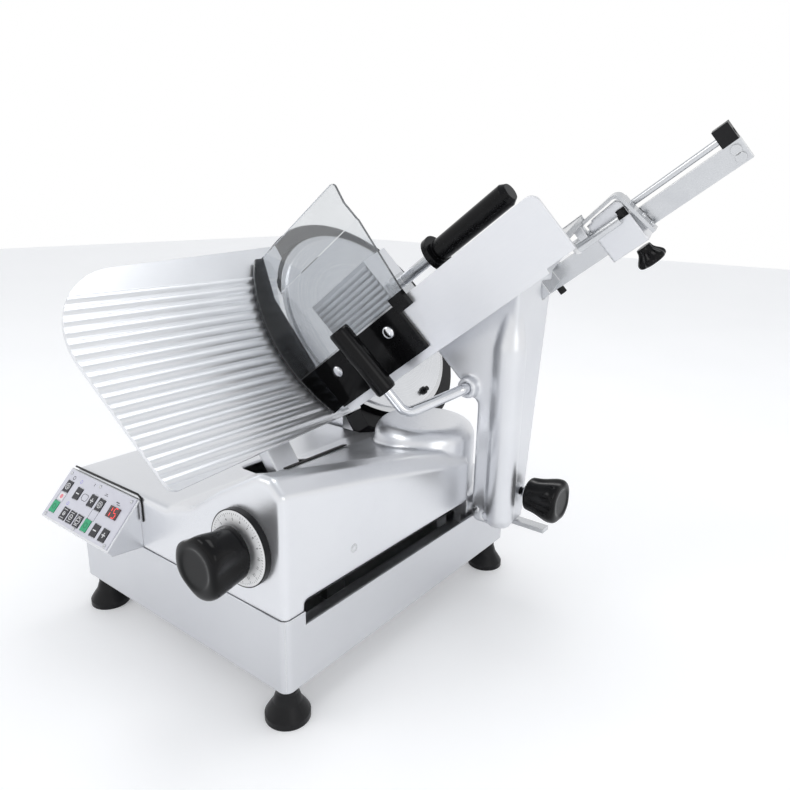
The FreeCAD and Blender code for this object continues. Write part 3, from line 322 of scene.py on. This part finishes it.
# ---------------------------------------------------------------- mesh helpers
def piece(name, mesh, body, material, smooth=True):
    """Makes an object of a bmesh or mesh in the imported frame, gives it a finish and rides it on a body."""
    if isinstance(mesh, bmesh.types.BMesh):
        data = bpy.data.meshes.new(name)
        bmesh.ops.recalc_face_normals(mesh, faces=mesh.faces)
        mesh.to_mesh(data)
        mesh.free()
    else:
        data = mesh
    thing = bpy.data.objects.new(name, data)
    bpy.context.scene.collection.objects.link(thing)
    if smooth:
        for face in data.polygons:
            face.use_smooth = True
    data.materials.clear()
    data.materials.append(material)
    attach(thing, body)
    return thing


def softened(name, node, voxel, passes, body, material):
    """A cast part: the CAD shape with every edge and inner corner rounded as a mould leaves them."""
    source = nodes[node]
    data = source.data.copy()
    thing = bpy.data.objects.new(name, data)
    bpy.context.scene.collection.objects.link(thing)
    remesh = thing.modifiers.new("remesh", "REMESH")
    remesh.mode = "VOXEL"
    remesh.voxel_size = voxel
    smooth = thing.modifiers.new("smooth", "SMOOTH")
    smooth.factor = 0.5
    smooth.iterations = passes
    thin = thing.modifiers.new("thin", "DECIMATE")
    thin.decimate_type = "COLLAPSE"
    thin.ratio = 0.35
    bpy.context.view_layer.update()
    shape = bpy.data.meshes.new_from_object(thing.evaluated_get(bpy.context.evaluated_depsgraph_get()))
    bpy.data.objects.remove(thing)
    made = piece(name, shape, body, material)
    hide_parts(node)
    return made


def frame_matrix(origin, x, y, z):
    return Matrix(((x.x, y.x, z.x, origin.x), (x.y, y.y, z.y, origin.y),
                   (x.z, y.z, z.z, origin.z), (0, 0, 0, 1)))


def grid_surface(rows, closed=True):
    """A skin over rows of points; closed joins the last column to the first."""
    mesh = bmesh.new()
    made = [[mesh.verts.new(point) for point in line] for line in rows]
    count = len(rows[0])
    for lower, upper in zip(made, made[1:]):
        for index in range(count if closed else count - 1):
            after = (index + 1) % count
            mesh.faces.new((lower[index], lower[after], upper[after], upper[index]))
    return mesh, made


def knob(name, origin, x, y, z, radius, length, lobes, depth, body, foot=0.74):
    """A fluted plastic knob that widens from its foot, with a dished front face."""
    place = frame_matrix(origin, x, y, z)
    profile = [(0.0, 0.0, 0), (foot - 0.04, 0.0, 0), (foot, 0.02, 0.2), (foot + 0.02, 0.12, 0.7),
               (foot + 0.06, 0.3, 1.0), (foot * 0.4 + 0.60, 0.5, 1.0), (0.985, 0.68, 0.95),
               (1.0, 0.8, 0.85), (0.985, 0.88, 0.7),
               (0.94, 0.94, 0.5), (0.84, 0.985, 0.3), (0.70, 1.0, 0.1), (0.62, 0.995, 0), (0.57, 0.975, 0),
               (0.50, 0.968, 0), (0.25, 0.966, 0), (0.0, 0.965, 0)]
    rows = []
    for share, height, flute in profile:
        line = []
        for step in range(120):
            angle = 2 * math.pi * step / 120
            wave = (0.5 + 0.5 * math.cos(lobes * angle)) ** 2.2
            reach = radius * share * (1 - depth * flute * wave)
            line.append(place @ Vector((reach * math.cos(angle), reach * math.sin(angle), height * length)))
        rows.append(line)
    mesh, made = grid_surface(rows)
    bmesh.ops.remove_doubles(mesh, verts=mesh.verts, dist=1e-6)
    thing = piece(name, mesh, body, GLOSS)
    divide = thing.modifiers.new("divide", "SUBSURF")
    divide.levels = 1
    divide.render_levels = 1
    return thing


def solid_plate(corners, place, thick):
    """A flat plate from an outline in the place's own XY plane, grown along +Z."""
    mesh = bmesh.new()
    low = [mesh.verts.new(place @ Vector((x, y, 0))) for x, y in corners]
    high = [mesh.verts.new(place @ Vector((x, y, thick))) for x, y in corners]
    mesh.faces.new(low)
    mesh.faces.new(list(reversed(high)))
    for index in range(len(corners)):
        after = (index + 1) % len(corners)
        mesh.faces.new((low[index], low[after], high[after], high[index]))
    return mesh


def merged(*meshes):
    whole = bmesh.new()
    for part in meshes:
        data = bpy.data.meshes.new("part")
        part.to_mesh(data)
        part.free()
        whole.from_mesh(data)
        bpy.data.meshes.remove(data)
    return whole


def lathe(place, profile, steps=64):
    """A skin turned about the place's Z, from a profile of (radius, height) points."""
    rows = []
    for radius, height in profile:
        rows.append([place @ Vector((radius * math.cos(2 * math.pi * k / steps),
                                     radius * math.sin(2 * math.pi * k / steps), height))
                     for k in range(steps)])
    mesh, made = grid_surface(rows)
    bmesh.ops.remove_doubles(mesh, verts=mesh.verts, dist=1e-7)
    return mesh


def tube(points, radius, steps=16):
    """A round bar through points, closed with flat ends."""
    rows = []
    count = len(points)
    side = None
    for index, point in enumerate(points):
        along = (points[min(index + 1, count - 1)] - points[max(index - 1, 0)]).normalized()
        if side is None:
            side = along.orthogonal().normalized()
        side = (side - along * side.dot(along)).normalized()
        other = along.cross(side)
        rows.append([point + (side * math.cos(2 * math.pi * k / steps)
                              + other * math.sin(2 * math.pi * k / steps)) * radius
                     for k in range(steps)])
    mesh, made = grid_surface(rows)
    for ring_row in (made[0], made[-1]):
        mesh.faces.new(ring_row)
    return mesh


def rounded_corners(corners, radius, steps=6):
    """The same outline with each corner replaced by an arc."""
    result = []
    count = len(corners)
    for index, corner in enumerate(corners):
        here = Vector(corner)
        into = (Vector(corners[index - 1]) - here).normalized()
        away = (Vector(corners[(index + 1) % count]) - here).normalized()
        half = into.angle(away) / 2
        reach = radius / math.tan(half)
        centre = here + (into + away).normalized() * (radius / math.sin(half))
        first = here + into * reach - centre
        last = here + away * reach - centre
        start = math.atan2(first.y, first.x)
        sweep = math.atan2(first.x * last.y - first.y * last.x, first.dot(last))
        for step in range(steps + 1):
            angle = start + sweep * step / steps
            result.append((centre.x + radius * math.cos(angle), centre.y + radius * math.sin(angle)))
    return result


# ---------------------------------------------------------------- castings
softened("housing_casting", "housing", 0.0021, 9, "base", SATIN)
softened("arm_body", "arm_casting", 0.0017, 12, "tray", CAST)

# ---------------------------------------------------------------- knobs
X = Vector((1, 0, 0))
Z = Vector((0, 0, 1))
turn_knob = knob("thickness_grip", row(-39.5, -33, 198), X, Z, -Y, 0.035, 0.046, 3, 0.24, "thickness_knob",
                 0.84)
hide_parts("thickness_knob")

clamp = knob("clamp_grip", row(84, 378.5, 155), Y, Z, X, 0.031, 0.048, 4, 0.22, "clamp_knob")
stud = lathe(frame_matrix(row(54, 378.5, 155), Y, Z, X),
             [(0, 0), (0.0042, 0), (0.005, 0.001), (0.005, 0.024), (0.0105, 0.0243),
              (0.011, 0.0253), (0.011, 0.031), (0, 0.031)])
piece("clamp_stud", merged(stud), "clamp_knob", STEEL)
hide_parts("clamp_knob")

slide_grip = knob("slider_grip", on_tray(516, 133, 436), N, -V, -W, 0.019, 0.024, 6, 0.16, "slider_knob",
                  0.5)
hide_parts("slider_knob")


# ---------------------------------------------------------------- dial
DIAL = frame_matrix(row(-39.5, -19, 198), X, Z, -Y)
face = lathe(DIAL, [(0.0155, 0.00705), (0.0155, 0.0074), (0.038, 0.0074), (0.0405, 0.0073), (0.0409, 0.00705),
                    (0.0155, 0.00705)], 96)
piece("dial_face", face, "thickness_knob", DIAL_WHITE)


def letters(text, place, size, name, body, material):
    """Small printed figures, as a thin mesh."""
    curve = bpy.data.curves.new(name, "FONT")
    curve.body = text
    curve.size = size
    curve.align_x = "CENTER"
    curve.align_y = "CENTER"
    curve.extrude = 0.00004
    holder = bpy.data.objects.new(name + "_text", curve)
    bpy.context.scene.collection.objects.link(holder)
    bpy.context.view_layer.update()
    data = bpy.data.meshes.new_from_object(holder.evaluated_get(bpy.context.evaluated_depsgraph_get()))
    bpy.data.objects.remove(holder)
    data.transform(place)
    return piece(name, data, body, material, False)


def strip(place, centre, wide, high, thick=0.00012, angle=0.0):
    """A thin printed rectangle on a place's XY plane."""
    turned_place = place @ Matrix.Translation((centre[0], centre[1], 0)) @ Matrix.Rotation(angle, 4, "Z")
    corners = [(-wide / 2, -high / 2), (wide / 2, -high / 2), (wide / 2, high / 2), (-wide / 2, high / 2)]
    return solid_plate(corners, turned_place, thick)


def hoop(place, centre, outer, inner, sides, thick=0.00012, twist=0.0):
    """A thin printed ring with the given number of sides."""
    mesh = bmesh.new()
    rows = []
    for radius, height in ((outer, 0), (outer, thick), (inner, thick), (inner, 0)):
        line = []
        for k in range(sides):
            angle = twist + 2 * math.pi * k / sides
            point = Vector((centre[0] + radius * math.cos(angle),
                            centre[1] + radius * math.sin(angle), height))
            line.append(mesh.verts.new(place @ point))
        rows.append(line)
    for lower, upper in zip(rows, rows[1:] + rows[:1]):
        for k in range(sides):
            mesh.faces.new((lower[k], lower[(k + 1) % sides], upper[(k + 1) % sides], upper[k]))
    return mesh


SCALE = DIAL @ Matrix.Translation((0, 0, 0.00742))
ticks = []
for step in range(61):
    angle = math.radians(200 - 5 * step)
    long = step % 4 == 0
    reach = 0.0365 if long else 0.0375
    middle = (reach * math.cos(angle), reach * math.sin(angle))
    ticks.append(strip(SCALE, middle, 0.0036 if long else 0.0017, 0.00035, 0.00008, angle))
piece("dial_ticks", merged(*ticks), "thickness_knob", INK, False)
for step in range(16):
    angle = math.radians(200 - 20 * step)
    spot = Matrix.Translation((0.0315 * math.cos(angle), 0.0315 * math.sin(angle), 0))
    letters(str(step), SCALE @ spot @ Matrix.Rotation(angle - math.pi / 2, 4, "Z"), 0.0042,
            "dial_figure_%d" % step, "thickness_knob", INK)

# ---------------------------------------------------------------- keypad
SLOPE_UP = Vector((0, 47, 50)).normalized()
PANEL = frame_matrix(row(-372, -19, 195), X, SLOPE_UP, X.cross(SLOPE_UP))
MARKS = PANEL @ Matrix.Translation((0, 0, 0.00152))
ON_KEY = PANEL @ Matrix.Translation((0, 0, 0.00232))


def at(x, y):
    return (x / 1000, y / 1000)


def bar(place, x, y, wide, high):
    return strip(place, at(x, y), wide / 1000, high / 1000)


def key_marks(name, *shapes, ink=None):
    piece(name + "_mark", merged(*shapes), name, ink or WHITE_INK, False)


def octagon(x, y, radius=4.6):
    return [hoop(ON_KEY, at(x, y), radius / 1000, (radius - 0.9) / 1000, 8, 0.00012, math.pi / 8),
            hoop(ON_KEY, at(x, y), 0.0022, 0.0014, 20)]


key_marks("key_blade_stop", *octagon(17, -23.5))
key_marks("key_carriage_stop", *octagon(94, -26))
key_marks("key_stroke_less", bar(ON_KEY, 43, -26, 6.5, 1.3))
key_marks("key_stroke_more", bar(ON_KEY, 76, -26, 6.5, 1.3), bar(ON_KEY, 76, -26, 1.3, 6.5))
key_marks("key_count_down", bar(ON_KEY, 112, -54, 6.5, 1.3))
key_marks("key_count_up", bar(ON_KEY, 131, -54, 6.5, 1.3), bar(ON_KEY, 131, -54, 1.3, 6.5))
STROKE_KEYS = (("key_stroke_short", 42, 1.6), ("key_stroke_middle", 58, 2.6), ("key_stroke_long", 74, 3.6))
for name, x, reach in STROKE_KEYS:
    key_marks(name, hoop(ON_KEY, at(x, -54), (reach + 0.9) / 1000, reach / 1000, 24),
              bar(ON_KEY, x, -54, 1.6 * reach, 0.8),
              bar(ON_KEY, x, -48.6, 8, 0.6), bar(ON_KEY, x, -59.4, 8, 0.6))
key_marks("key_blade_start", hoop(ON_KEY, at(15.5, -52), 0.0034, 0.0026, 24), ink=KEY_GREEN_DARK)
key_marks("key_carriage_start", hoop(ON_KEY, at(91.5, -54), 0.0034, 0.0026, 24), ink=KEY_GREEN_DARK)

lines = [bar(MARKS, 9.3, -37, 0.35, 14), bar(MARKS, 23.6, -37, 0.35, 14), bar(MARKS, 86, -40, 0.35, 13),
         bar(MARKS, 99.5, -40, 0.35, 13), bar(MARKS, 59.5, -22.3, 7, 0.6), bar(MARKS, 59.5, -30.7, 7, 0.6),
         bar(MARKS, 53.6, -26.5, 0.6, 4.5), bar(MARKS, 65.4, -26.5, 0.6, 4.5),
         strip(MARKS, at(54.6, -23.4), 0.0030, 0.0006, angle=math.pi / 4),
         strip(MARKS, at(64.4, -23.4), 0.0030, 0.0006, angle=-math.pi / 4),
         strip(MARKS, at(54.6, -29.6), 0.0030, 0.0006, angle=-math.pi / 4),
         strip(MARKS, at(64.4, -29.6), 0.0030, 0.0006, angle=math.pi / 4),
         bar(MARKS, 94, -13.2, 7, 0.6), bar(MARKS, 94, -11.4, 4.5, 0.6), bar(MARKS, 121, -14.5, 6, 1.2),
         bar(MARKS, 124, -16.8, 7, 0.7), hoop(MARKS, at(18.5, -11), 0.0026, 0.0019, 20),
         bar(MARKS, 63, -8, 0.7, 3.4)]
piece("panel_lines", merged(*lines), "base", INK, False)
window = strip(MARKS, at(16.5, -37.5), 0.0095, 0.0095)
piece("panel_window", merged(window), "base", WHITE_INK, False)
dot = hoop(PANEL @ Matrix.Translation((0, 0, 0.00166)), at(16.5, -37.5), 0.0030, 0.0001, 24)
piece("panel_dot", merged(dot), "base", PINK_INK, False)
hoops = [hoop(MARKS, at(x, y), 0.0024, 0.0016, 20) for x, y in ((36, -11.5), (36, -41.5))]
piece("panel_dots", merged(*hoops), "base", LILAC_INK, False)

# lit figures in the display, a 1 and a 5, as seven-segment bars
DIGITS = PANEL @ Matrix.Translation((0, 0, 0.00305))
segments = [bar(DIGITS, 120.3, -23.8, 1.0, 4.2), bar(DIGITS, 120.3, -30.2, 1.0, 4.2),
            bar(DIGITS, 128.0, -20.9, 4.6, 1.0), bar(DIGITS, 128.0, -27.0, 4.6, 1.0),
            bar(DIGITS, 128.0, -33.0, 4.6, 1.0), bar(DIGITS, 125.2, -23.9, 1.0, 4.4),
            bar(DIGITS, 130.8, -30.1, 1.0, 4.4)]
piece("display_figures", merged(*segments), "base", LIT, False)
heads = [lathe(PANEL @ Matrix.Translation((x / 1000, y / 1000, 0.0014)),
               [(0, 0), (0.0023, 0), (0.0023, 0.0006), (0.0018, 0.0012), (0.0008, 0.0013),
                (0.0007, 0.0008), (0, 0.0008)],
               20) for x in (8, 75, 142) for y in (-7, -64)]
panel_heads = piece("panel_screw_heads", merged(*heads), "base", STEEL)
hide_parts("panel_screws")

# black groove that frames the keypad on the casting's front and top edge
groove = [(-366.5, -17.2, 197.6), (-228, -17.2, 198.8), (-219, -19.0, 196.6),
          (-217.5, -19.4, 188), (-217.5, -19.4, 168)]
piece("panel_gasket", tube([row(*p) for p in groove], 0.0013, 10), "base", MATTE)

# plug in the right flank and a bolt head on the arm
plug = lathe(frame_matrix(row(18.3, 86, 172), Y, Z, X),
             [(0, 0), (0.0052, 0), (0.0052, 0.0008), (0.0046, 0.0014), (0.0035, 0.0008), (0, 0.0006)], 32)
piece("flank_plug", plug, "base", STEEL)
bolt = lathe(frame_matrix(row(30, 330, 132), X, Z, -Y),
             [(0, -0.0005), (0.0052, -0.0005), (0.0052, 0.0004), (0.0042, 0.0011), (0, 0.0013)], 32)
piece("arm_screw", merged(bolt), "tray", STEEL)

# domed heads on the two screws of the guard's black panel
dome = [(0.0088, 0), (0.0088, 0.0009), (0.0082, 0.0024), (0.0066, 0.0037), (0.0040, 0.0045), (0, 0.0048)]
domes = [lathe(frame_matrix(on_tray(356, 248, n), N, W, -V), dome, 40) for n in (54, 165)]
piece("panel_domes", merged(*domes), "tray", CHROME)

# ---------------------------------------------------------------- product holder
arm_place = frame_matrix(on_tray(494, 0, 0), N, W, -V)


def flat_bar(centre_line, thick, width, place):
    """A bent flat bar: a line of (along, up) points, given in millimetres, thickened and drawn to a width."""
    points = [Vector((x / 1000, y / 1000)) for x, y in centre_line]
    rows = []
    for index, point in enumerate(points):
        along = (points[min(index + 1, len(points) - 1)] - points[max(index - 1, 0)]).normalized()
        out = Vector((-along.y, along.x)) * thick / 2000
        rows.append([place @ Vector((*(point + out), 0)), place @ Vector((*(point + out), -width / 1000)),
                     place @ Vector((*(point - out), -width / 1000)), place @ Vector((*(point - out), 0))])
    mesh, made = grid_surface(rows)
    for end in (made[0], made[-1]):
        mesh.faces.new(end)
    return mesh


def bend(line, radius, steps=7):
    """An open line with its inner corners replaced by arcs."""
    result = [line[0]]
    for before, here, after in zip(line, line[1:], line[2:]):
        corner = Vector(here)
        into = (Vector(before) - corner).normalized()
        away = (Vector(after) - corner).normalized()
        half = into.angle(away) / 2
        centre = corner + (into + away).normalized() * (radius / math.sin(half))
        first = corner + into * (radius / math.tan(half)) - centre
        last = corner + away * (radius / math.tan(half)) - centre
        start = math.atan2(first.y, first.x)
        sweep = math.atan2(first.x * last.y - first.y * last.x, first.dot(last))
        result += [(centre.x + radius * math.cos(start + sweep * k / steps),
                    centre.y + radius * math.sin(start + sweep * k / steps)) for k in range(steps + 1)]
    result.append(line[-1])
    return result


def tray_block(corner, spans, softness):
    """A block with bevelled edges, from its lowest corner and its spans along V, W and N."""
    block = bmesh.new()
    bmesh.ops.create_cube(block, size=1)
    for vert in block.verts:
        vert.co = on_tray(*[low + (0.5 + share) * span for low, share, span in zip(corner, vert.co, spans)])
    bmesh.ops.bevel(block, geom=block.edges, offset=softness, segments=2, affect="EDGES")
    return block


strap = flat_bar(bend([(373, 199), (453.5, 207.5), (463.5, 144)], 9), 4.5, 16, arm_place)
link = tray_block((398, 202, 181), (8, 18, 219), 0.0012)
cross = tray_block((399, 202.1, 372), (110, 7.8, 28), 0.0012)
stay = solid_plate(rounded_corners([(0, 0), (0.042, 0), (0.042, 0.098), (0, 0.098)], 0.006),
                   frame_matrix(on_tray(398, 202, 180.2), V, W, N), 0.0058)
main_rod = tube([on_tray(432, 288, n) for n in (176, 200, 260, 332)], 0.008, 32)
guide = tube([on_tray(491, 180, n) for n in (379, 400, 420, 441)], 0.006, 28)
hanger = tray_block((488, 179, 388.5), (12, 27, 9), 0.001)
holder_mesh = merged(strap, link, cross, stay, main_rod, guide, hanger)
holder_arm = piece("holder_arm", holder_mesh, "pusher", STEEL, False)
split = holder_arm.modifiers.new("edges", "EDGE_SPLIT")
split.split_angle = math.radians(35)
for face in holder_arm.data.polygons:
    face.use_smooth = True
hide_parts("pusher_arm")

button = lathe(frame_matrix(on_tray(491, 180, 372.5), V, W, N),
               [(0, 0), (0.0035, 0.0004), (0.0062, 0.003), (0.0068, 0.0065), (0.0058, 0.0075),
                (0, 0.0075)], 32)
piece("guide_button", button, "pusher", DIAL_WHITE)
insert = tray_block((496.4, 180, 441), (6, 9, 9), 0.0012)
piece("holder_insert", insert, "pusher", MATTE)

# screws that hold the strap to the slider block
heads = [lathe(frame_matrix(on_tray(503, w, n), V, W, N),
               [(0, -0.002), (0.0036, -0.002), (0.0036, 0.0012), (0.003, 0.0022), (0.0016, 0.0024),
                (0.0015, 0.0012), (0, 0.0012)], 24) for w, n in ((152, 464.4), (166, 462.2))]
piece("strap_screws", merged(*heads), "pusher", STEEL)

# ribs on the product holder's face, seen through the guard
rows = []
for step in range(161):
    w = 206 + (334 - 206) * step / 160
    lift = 1.9 * abs(math.sin(math.pi * step / 10))
    rows.append([on_tray(392.2 - lift, w, n) for n in (64, 80, 120, 160, 178)])
ribs, made = grid_surface(rows, False)
piece("holder_ribs", ribs, "pusher", TRAY)

# painted shade: a near-black sheet laid in the slot in the casting's flank, below the gauge plate, where the
# gap falls in shade
slot_place = frame_matrix(row(-126.0, 128, 213.2), Y, Vector((-0.96, 0, -0.28)), Vector((-0.28, 0, 0.96)))
slot_mesh = solid_plate(rounded_corners([(0, 0), (0.112, 0), (0.112, 0.010), (0, 0.010)], 0.002),
                        slot_place, 0.0012)
piece("gauge_gap_shade", slot_mesh, "base", GAP_SHADE, False)


# ---------------------------------------------------------------- camera, floor and light
FRAME_WIDE = 790
FOCAL = 688.42
SENSOR = 36
FLOOR_SPAN = 6


def camera():
    """A camera to the operator's right and in front, looking slightly down, with a small roll."""
    azimuth = math.radians(37.19)
    height = math.radians(16.32)
    roll = math.radians(1.32)
    level = math.cos(height)
    back = Vector((math.sin(azimuth) * level, -math.cos(azimuth) * level, math.sin(height)))
    right = Vector((math.cos(azimuth), math.sin(azimuth), 0))
    up = back.cross(right)
    right, up = right * math.cos(roll) + up * math.sin(roll), up * math.cos(roll) - right * math.sin(roll)
    data = bpy.data.cameras.new("camera")
    data.sensor_width = SENSOR
    data.lens = FOCAL / FRAME_WIDE * SENSOR
    data.clip_start = 0.01
    thing = bpy.data.objects.new("camera", data)
    thing.matrix_world = frame_matrix(row(460.75, -428.28, 545.90), right, up, back)
    bpy.context.scene.collection.objects.link(thing)
    bpy.context.scene.camera = thing


def floor():
    mesh = bmesh.new()
    bmesh.ops.create_grid(mesh, x_segments=1, y_segments=1, size=FLOOR_SPAN)
    data = bpy.data.meshes.new("floor")
    mesh.to_mesh(data)
    mesh.free()
    thing = bpy.data.objects.new("floor", data)
    m = Nodes("floor_paper")
    haze = m.spread(m.noise(m.turned((1, 1, 1)), 3.0), 0, 1)
    m.link(m.blend(haze, (0.93, 0.93, 0.935), (0.96, 0.96, 0.965)), m.shader.inputs["Base Color"])
    m.link(m.spread(m.noise(m.turned((1, 1, 1)), 20.0), 0.5, 0.6), m.shader.inputs["Roughness"])
    m.shader.inputs["Emission Color"].default_value = (1, 1, 1, 1)
    m.shader.inputs["Emission Strength"].default_value = 0.12
    data.materials.append(m.material)
    bpy.context.scene.collection.objects.link(thing)


def lamp(name, place, aim, size, power, colour=(1, 1, 1)):
    data = bpy.data.lights.new(name, "AREA")
    data.shape = "RECTANGLE"
    data.size, data.size_y = size
    data.energy = power
    data.color = colour
    thing = bpy.data.objects.new(name, data)
    thing.location = place
    thing.rotation_euler = (Vector(aim) - Vector(place)).to_track_quat("-Z", "Y").to_euler()
    bpy.context.scene.collection.objects.link(thing)


camera()
floor()
world = bpy.data.worlds.new("studio")
world.use_nodes = True
# white around the horizon, greyer overhead so that metal shows its curves
tree = world.node_tree
background = tree.nodes["Background"]
background.inputs["Strength"].default_value = 1.0
heading = tree.nodes.new("ShaderNodeTexCoord")
height = tree.nodes.new("ShaderNodeSeparateXYZ")
tree.links.new(heading.outputs["Generated"], height.inputs["Vector"])
ramp = tree.nodes.new("ShaderNodeValToRGB")
ramp.color_ramp.elements[0].position = 0.30
ramp.color_ramp.elements[0].color = (1.0, 1.0, 1.0, 1)
ramp.color_ramp.elements[1].position = 0.72
ramp.color_ramp.elements[1].color = (0.66, 0.68, 0.71, 1)
tree.links.new(height.outputs["Z"], ramp.inputs["Fac"])
tree.links.new(ramp.outputs["Color"], background.inputs["Color"])
bpy.context.scene.world = world
lamp("key", (-1.3, -1.9, 2.0), (0, 0, 0.25), (1.2, 0.9), 9)
lamp("fill", (2.4, -0.9, 1.3), (0, 0, 0.25), (1.2, 1.2), 6)
lamp("top", (0.1, 0.5, 2.6), (0, 0, 0.2), (1.4, 1.0), 12)
bpy.context.scene.view_settings.view_transform = "Standard"
